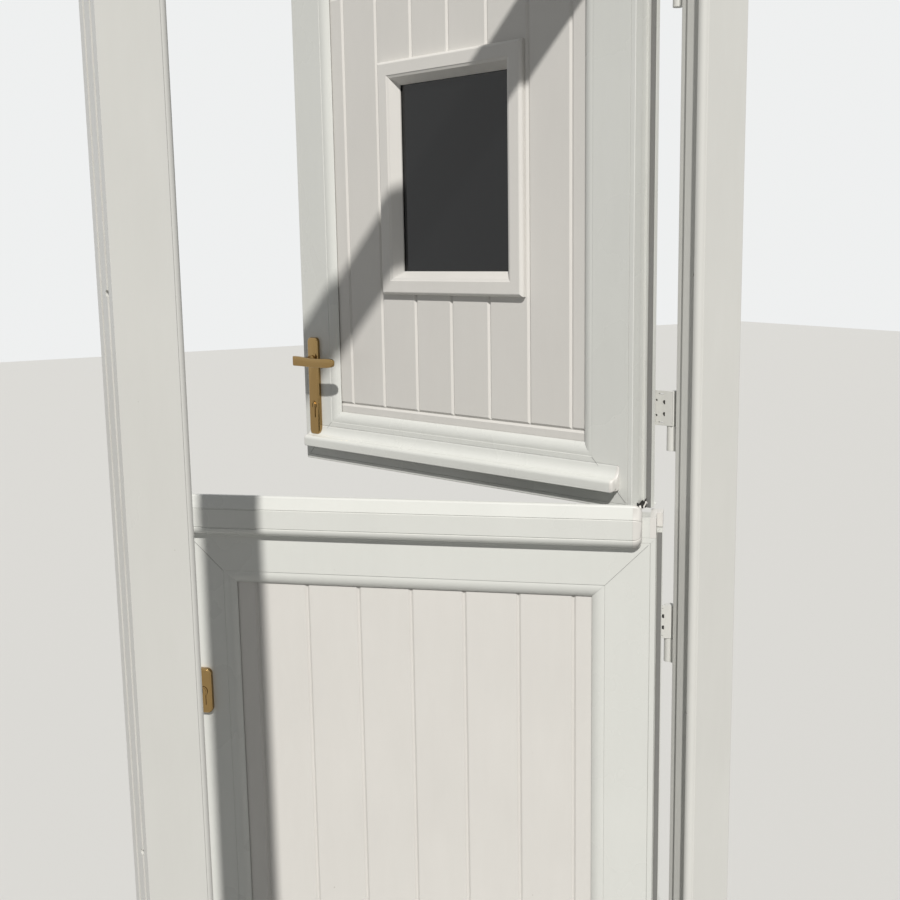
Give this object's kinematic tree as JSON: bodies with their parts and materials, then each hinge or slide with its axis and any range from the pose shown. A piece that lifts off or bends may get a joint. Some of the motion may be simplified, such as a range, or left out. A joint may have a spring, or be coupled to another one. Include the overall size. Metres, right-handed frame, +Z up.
{
  "type": "dutch stable door",
  "caption": "White framed stable door with two independently hinged leaves, grooved infill panels, a glazed top leaf and a weather bar at the meeting joint.",
  "frame": {"origin": "centre of the threshold's underside, at the middle of the frame's depth", "axes": "+Z up, +Y into the building, +X to the right seen from outside"},
  "size_m": [0.95, 0.8816, 2.1],
  "materials": {
    "frame_plastic": "smooth white window plastic, satin",
    "sash_plastic": "smooth white window plastic, satin",
    "panel_plastic": "smooth off-white panel skin",
    "cap_plastic": "moulded white plastic",
    "dark_seal": "matt seal",
    "grey_seal": "matt grey seal",
    "threshold_metal": "mill aluminium",
    "hinge_paint": "white powder coat",
    "steel": "zinc plated",
    "brass": "polished gold",
    "glass": "clear float glass"
  },
  "bodies": {
    "frame": {"jamb_lock": "frame_plastic", "jamb_hinge": "frame_plastic", "head": "frame_plastic", "threshold": "threshold_metal", "frame_nose_gasket": "dark_seal", "keep_top": "steel", "keep_bottom": "steel", "hinge_brackets_top": "hinge_paint", "hinge_brackets_bottom": "hinge_paint", "hinge_pins": "steel"},
    "top_lever": {"lever_outside": "brass", "lever_inside": "brass", "lever_spindle": "steel"},
    "top_bolt_set": {"top_bolts": "steel"},
    "top_plug": {"top_cylinder_plug": "brass"},
    "bottom_plug": {"bottom_cylinder_plug": "brass"},
    "bottom_bolt_set": {"bottom_bolt": "steel"},
    "joining_rod": {"joining_bolt": "brass"},
    "bottom_leaf": {"bottom_stile_lock": "sash_plastic", "bottom_stile_hinge": "sash_plastic", "bottom_rail_top": "sash_plastic", "bottom_rail_foot": "sash_plastic", "bottom_panel": "panel_plastic", "bottom_inside_beads": "sash_plastic", "bottom_glazing_gaskets": "grey_seal", "bottom_edge_gasket": "grey_seal", "bottom_hinge_plates": "hinge_paint", "bottom_faceplate": "steel", "bottom_cylinder": "brass", "bottom_escutcheon_outside": "brass", "bottom_escutcheon_inside": "brass", "interlock_adaptor": "sash_plastic", "weather_bar": "sash_plastic", "weather_bar_caps": "cap_plastic", "interlock_seals": "dark_seal", "interlock_end_blocks": "cap_plastic", "joining_bolt_keep": "brass"},
    "top_leaf": {"top_stile_lock": "sash_plastic", "top_stile_hinge": "sash_plastic", "top_rail_head": "sash_plastic", "top_rail_foot": "sash_plastic", "top_panel": "panel_plastic", "top_inside_beads": "sash_plastic", "top_glazing_gaskets": "grey_seal", "top_edge_gasket": "grey_seal", "window_surround_outside": "cap_plastic", "window_surround_inside": "cap_plastic", "glass_panes": "glass", "glass_spacer": "steel", "drip": "sash_plastic", "drip_caps": "cap_plastic", "top_hinge_plates": "hinge_paint", "top_faceplate": "steel", "top_cylinder": "brass", "top_backplate_outside": "brass", "top_backplate_inside": "brass", "joining_bolt_case": "brass"}
  },
  "joints": [
    {"name": "bottom_leaf_hinge", "type": "hinge", "parent": "frame", "child": "bottom_leaf", "pos_m": [0.422, 0.0585, 0.511], "axis": [0, 0, -1], "range_deg": [-40.3, 49.7]},
    {"name": "top_leaf_hinge", "type": "hinge", "parent": "bottom_leaf", "child": "top_leaf", "pos_m": [0.422, 0.0585, 1.528], "axis": [0, 0, -1], "range_deg": [-32.4, 52.6]},
    {"name": "lever_turn", "type": "hinge", "parent": "top_leaf", "child": "top_lever", "pos_m": [0.06498, 0.77264, 1.232], "axis": [-0.9548, -0.2974, 0], "range_deg": [0, 45]},
    {"name": "top_bolts_slide", "type": "slide", "parent": "top_leaf", "child": "top_bolt_set", "axis": [-0.2974, 0.9548, 0], "range_m": [0, 0.016]},
    {"name": "top_plug_turn", "type": "hinge", "parent": "top_leaf", "child": "top_plug", "pos_m": [0.10317, 0.78453, 1.1405], "axis": [-0.9548, -0.2974, 0], "range_deg": [0, 180]},
    {"name": "joining_bolt_slide", "type": "slide", "parent": "top_leaf", "child": "joining_rod", "axis": [0, 0, -1], "range_m": [0, 0.062]},
    {"name": "bottom_plug_turn", "type": "hinge", "parent": "bottom_leaf", "child": "bottom_plug", "pos_m": [-0.23622, 0.50067, 0.699], "axis": [-0.6468, -0.7627, 0], "range_deg": [0, 180]},
    {"name": "bottom_bolt_slide", "type": "slide", "parent": "bottom_leaf", "child": "bottom_bolt_set", "axis": [-0.7627, 0.6468, 0], "range_m": [0, 0.016]}
  ],
  "couplings": [
    {"joint": "top_bolts_slide", "follows": "lever_turn", "m_per_rad": 0.0203},
    {"joint": "bottom_bolt_slide", "follows": "bottom_plug_turn", "m_per_rad": 0.005}
  ]
}
